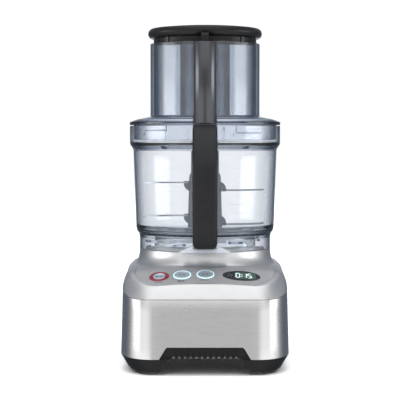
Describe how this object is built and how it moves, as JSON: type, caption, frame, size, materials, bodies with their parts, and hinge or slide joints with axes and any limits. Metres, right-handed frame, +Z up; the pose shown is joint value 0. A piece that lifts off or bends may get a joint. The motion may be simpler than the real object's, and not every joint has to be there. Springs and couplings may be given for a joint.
{
  "type": "food processor",
  "caption": "Countertop food processor with a metal motor base, a clear lidded bowl with a front handle, a blade set, a wide feed chute and nested pushers.",
  "frame": {"origin": "centre of the footprint's bounding box, on the surface that the feet stand on", "axes": "+Z up, the front with the handle and controls faces -Y, +X to the right as seen from the front"},
  "size_m": [0.213, 0.267, 0.4412],
  "materials": {
    "die_cast": "smooth satin die casting with a fine brushed lustre",
    "brushed_steel": "horizontally brushed",
    "panel_grey": "satin grey panel",
    "button_metal": "satin metallic button cap",
    "ring_red": "translucent red light ring",
    "ring_pale": "translucent pale light ring",
    "display_dark": "glossy dark display window",
    "black_plastic": "fine moulded texture",
    "rubber_black": "matte",
    "soft_grip": "soft-touch, matte",
    "handle_grey": "satin",
    "column_grey": "dark metallic, satin",
    "clear_plastic": "clear with a faint blue tint",
    "pusher_smoke": "silvery translucent",
    "cap_black": "satin black",
    "frosted": "frosted pale",
    "hub_slate": "satin slate blue",
    "blade_steel": "ground and polished",
    "seal_silicone": "matte silicone",
    "laminated_steel": "stacked laminations",
    "copper_wire": "enamelled wire",
    "steel": "turned",
    "board_green": "solder mask",
    "cast_bracket": "cast"
  },
  "bodies": {
    "base": {"base_cover": "die_cast", "base_skirt": "brushed_steel", "control_panel": "panel_grey", "chassis": "black_plastic", "front_grille": "black_plastic", "foot_front_left": "rubber_black", "foot_rear_left": "rubber_black", "foot_front_right": "rubber_black", "foot_rear_right": "rubber_black", "chassis_screw_front_left": "steel", "chassis_screw_rear_left": "steel", "chassis_screw_front_right": "steel", "chassis_screw_rear_right": "steel", "cord_gland": "rubber_black", "power_ring": "ring_red", "start_ring": "ring_pale", "pulse_ring": "ring_pale", "display_lens": "display_dark", "display_module": "black_plastic", "control_board": "board_green", "motor_stator": "laminated_steel", "winding_lower": "copper_wire", "winding_upper": "copper_wire", "motor_bracket_upper": "cast_bracket", "motor_bracket_lower": "cast_bracket", "bearing_upper": "steel", "bearing_lower": "steel", "motor_mount_ring": "rubber_black", "shaft_seal": "rubber_black", "run_capacitor": "cast_bracket", "interlock_switch": "black_plastic"},
    "motor": {"drive_shaft": "steel", "motor_rotor": "laminated_steel", "cooling_fan": "black_plastic"},
    "power_button": {"power_button": "button_metal"},
    "start_button": {"start_button": "button_metal"},
    "pulse_button": {"pulse_button": "button_metal"},
    "switch_plunger": {"switch_plunger": "black_plastic"},
    "bush": {"bowl_bush": "steel"},
    "bowl": {"bowl": "clear_plastic", "handle_frame": "handle_grey", "handle_grip": "soft_grip", "handle_foot": "frosted"},
    "handle_rod": {"handle_rod": "steel"},
    "blade_set": {"drive_spindle": "hub_slate", "blade_hub": "hub_slate", "blade_upper_right": "blade_steel", "blade_upper_left": "blade_steel", "blade_lower_right": "blade_steel", "blade_lower_left": "blade_steel"},
    "seal": {"lid_seal": "seal_silicone"},
    "lid": {"lid": "clear_plastic", "chute_column": "column_grey"},
    "column_rod": {"column_rod": "steel"},
    "large_pusher": {"large_pusher": "pusher_smoke", "large_pusher_cap": "cap_black"},
    "small_pusher": {"small_pusher": "pusher_smoke", "small_pusher_cap": "cap_black"}
  },
  "joints": [
    {"name": "motor_spin", "type": "hinge", "parent": "base", "child": "motor", "pos_m": [0, 0.0165, 0.1], "axis": [0, 0, 1], "continuous": true},
    {"name": "bowl_lift", "type": "slide", "parent": "base", "child": "bush", "axis": [0, 0, 1], "range_m": [0, 0.12]},
    {"name": "bowl_twist", "type": "hinge", "parent": "bush", "child": "bowl", "pos_m": [0, 0.0165, 0.2], "axis": [0, 0, 1], "range_deg": [0, 30]},
    {"name": "blade_spin", "type": "hinge", "parent": "bush", "child": "blade_set", "pos_m": [0, 0.0165, 0.2], "axis": [0, 0, 1], "continuous": true},
    {"name": "lid_lift", "type": "slide", "parent": "bowl", "child": "seal", "axis": [0, 0, 1], "range_m": [0, 0.06]},
    {"name": "lid_twist", "type": "hinge", "parent": "seal", "child": "lid", "pos_m": [0, 0.0165, 0.3], "axis": [0, 0, 1], "range_deg": [0, 30]},
    {"name": "pusher_lift", "type": "slide", "parent": "lid", "child": "large_pusher", "axis": [0, 0, 1], "range_m": [0, 0.13]},
    {"name": "small_pusher_lift", "type": "slide", "parent": "large_pusher", "child": "small_pusher", "axis": [0, 0, 1], "range_m": [0, 0.13]},
    {"name": "column_rod_press", "type": "slide", "parent": "lid", "child": "column_rod", "axis": [0, 0, 1], "range_m": [-0.003, 0], "stiffness_N_per_m": 1500},
    {"name": "handle_rod_press", "type": "slide", "parent": "bowl", "child": "handle_rod", "axis": [0, 0, 1], "range_m": [-0.003, 0], "stiffness_N_per_m": 1500},
    {"name": "switch_press", "type": "slide", "parent": "base", "child": "switch_plunger", "axis": [0, 0, 1], "range_m": [-0.003, 0], "stiffness_N_per_m": 500},
    {"name": "power_press", "type": "slide", "parent": "base", "child": "power_button", "axis": [0.0831, 0.3634, -0.9279], "range_m": [0, 0.0015], "stiffness_N_per_m": 500},
    {"name": "start_press", "type": "slide", "parent": "base", "child": "start_button", "axis": [0.0416, 0.3642, -0.9304], "range_m": [0, 0.0015], "stiffness_N_per_m": 500},
    {"name": "pulse_press", "type": "slide", "parent": "base", "child": "pulse_button", "axis": [-0.0009, 0.3644, -0.9312], "range_m": [0, 0.0015], "stiffness_N_per_m": 500}
  ],
  "couplings": [
    {"joint": "blade_spin", "follows": "motor_spin", "ratio": 1},
    {"joint": "handle_rod_press", "follows": "column_rod_press", "ratio": 1},
    {"joint": "switch_press", "follows": "column_rod_press", "ratio": 1}
  ]
}
